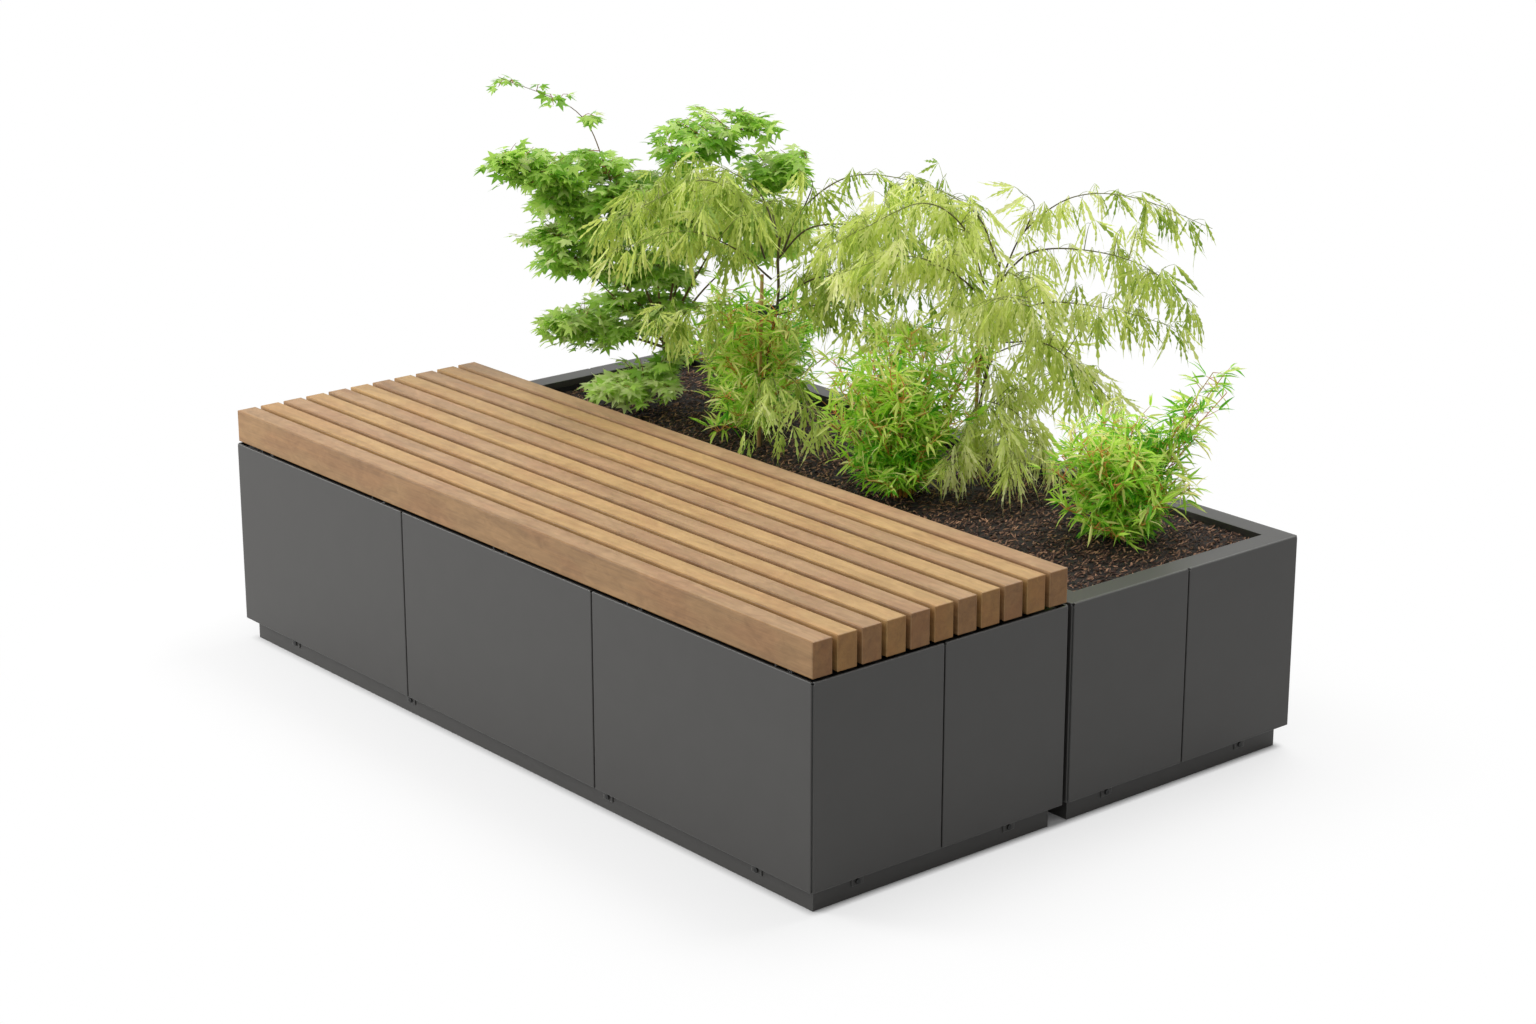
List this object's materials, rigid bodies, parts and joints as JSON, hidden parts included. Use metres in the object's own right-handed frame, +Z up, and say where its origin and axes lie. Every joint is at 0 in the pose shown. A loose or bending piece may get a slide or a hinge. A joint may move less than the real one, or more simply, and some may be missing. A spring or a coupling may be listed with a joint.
{
  "type": "bench with planter",
  "caption": "Slatted wooden bench on a panelled steel base, backed by a planter of the same size with bark mulch, small ornamental maples and dwarf bamboo.",
  "frame": {"origin": "on the ground, at the centre of the footprint of both modules, which is the centre of the anchor holes", "axes": "+X along the length, +Y from the bench to the planter, +Z up"},
  "size_m": [1.65, 1.2815, 1.0181],
  "materials": {
    "anthracite_coated_steel": "fine matt powder coat",
    "dark_coated_steel": "matt powder coat",
    "galvanised_steel": "hot dip galvanised",
    "zinc_plated_steel": "zinc plated",
    "golden_slat_wood": "oiled hardwood, golden tan",
    "pinkish_slat_wood": "oiled hardwood, pinkish tan",
    "black_plastic_liner": "moulded matt black",
    "growing_medium": "loose potting substrate",
    "bark": "chipped pine bark",
    "maple_foliage": "thin leaves",
    "weeping_maple_foliage": "thin cut leaves",
    "bamboo_foliage": "thin narrow leaves"
  },
  "bodies": {
    "bench_and_planter": {"bench_plinth": "dark_coated_steel", "bench_base_frame": "dark_coated_steel", "bench_top_frame": "dark_coated_steel", "bench_front_panel_left": "anthracite_coated_steel", "bench_front_panel_middle": "anthracite_coated_steel", "bench_front_panel_right": "anthracite_coated_steel", "bench_left_end_panel_front": "anthracite_coated_steel", "bench_left_end_panel_rear": "anthracite_coated_steel", "bench_right_end_panel_front": "anthracite_coated_steel", "bench_right_end_panel_rear": "anthracite_coated_steel", "seat_bearers": "galvanised_steel", "seat_slat_01": "pinkish_slat_wood", "seat_slat_02": "golden_slat_wood", "seat_slat_03": "pinkish_slat_wood", "seat_slat_04": "golden_slat_wood", "seat_slat_05": "pinkish_slat_wood", "seat_slat_06": "golden_slat_wood", "seat_slat_07": "pinkish_slat_wood", "seat_slat_08": "golden_slat_wood", "seat_slat_09": "pinkish_slat_wood", "seat_slat_10": "golden_slat_wood", "seat_slat_11": "pinkish_slat_wood", "slat_screws": "zinc_plated_steel", "bearer_bolts": "zinc_plated_steel", "planter_plinth": "dark_coated_steel", "planter_base_frame": "dark_coated_steel", "planter_top_frame": "dark_coated_steel", "planter_rear_panel_left": "anthracite_coated_steel", "planter_rear_panel_middle": "anthracite_coated_steel", "planter_rear_panel_right": "anthracite_coated_steel", "planter_left_end_panel_front": "anthracite_coated_steel", "planter_left_end_panel_rear": "anthracite_coated_steel", "planter_right_end_panel_front": "anthracite_coated_steel", "planter_right_end_panel_rear": "anthracite_coated_steel", "liner_supports": "galvanised_steel", "planter_liner": "black_plastic_liner", "planter_rim": "anthracite_coated_steel", "growing_medium": "growing_medium", "bark_mulch": "bark", "broadleaf_maple": "maple_foliage", "weeping_maple_left": "weeping_maple_foliage", "weeping_maple_right": "weeping_maple_foliage", "dwarf_bamboo_left": "bamboo_foliage", "dwarf_bamboo_middle": "bamboo_foliage", "dwarf_bamboo_right": "bamboo_foliage", "frame_posts": "dark_coated_steel", "inner_panels": "anthracite_coated_steel", "corner_profiles": "dark_coated_steel", "panel_clips": "dark_coated_steel", "clip_screws": "dark_coated_steel", "link_bolts": "zinc_plated_steel", "link_spacers": "galvanised_steel"},
    "bench_foot_front_left_body": {"bench_foot_front_left": "zinc_plated_steel"},
    "bench_foot_front_right_body": {"bench_foot_front_right": "zinc_plated_steel"},
    "bench_foot_rear_left_body": {"bench_foot_rear_left": "zinc_plated_steel"},
    "bench_foot_rear_right_body": {"bench_foot_rear_right": "zinc_plated_steel"},
    "planter_foot_front_left_body": {"planter_foot_front_left": "zinc_plated_steel"},
    "planter_foot_front_right_body": {"planter_foot_front_right": "zinc_plated_steel"},
    "planter_foot_rear_left_body": {"planter_foot_rear_left": "zinc_plated_steel"},
    "planter_foot_rear_right_body": {"planter_foot_rear_right": "zinc_plated_steel"}
  },
  "joints": [
    {"name": "bench_foot_front_left_screw_out", "type": "slide", "parent": "bench_and_planter", "child": "bench_foot_front_left_body", "axis": [0, 0, -1], "range_m": [0, 0.02]},
    {"name": "bench_foot_front_right_screw_out", "type": "slide", "parent": "bench_and_planter", "child": "bench_foot_front_right_body", "axis": [0, 0, -1], "range_m": [0, 0.02]},
    {"name": "bench_foot_rear_left_screw_out", "type": "slide", "parent": "bench_and_planter", "child": "bench_foot_rear_left_body", "axis": [0, 0, -1], "range_m": [0, 0.02]},
    {"name": "bench_foot_rear_right_screw_out", "type": "slide", "parent": "bench_and_planter", "child": "bench_foot_rear_right_body", "axis": [0, 0, -1], "range_m": [0, 0.02]},
    {"name": "planter_foot_front_left_screw_out", "type": "slide", "parent": "bench_and_planter", "child": "planter_foot_front_left_body", "axis": [0, 0, -1], "range_m": [0, 0.02]},
    {"name": "planter_foot_front_right_screw_out", "type": "slide", "parent": "bench_and_planter", "child": "planter_foot_front_right_body", "axis": [0, 0, -1], "range_m": [0, 0.02]},
    {"name": "planter_foot_rear_left_screw_out", "type": "slide", "parent": "bench_and_planter", "child": "planter_foot_rear_left_body", "axis": [0, 0, -1], "range_m": [0, 0.02]},
    {"name": "planter_foot_rear_right_screw_out", "type": "slide", "parent": "bench_and_planter", "child": "planter_foot_rear_right_body", "axis": [0, 0, -1], "range_m": [0, 0.02]}
  ]
}
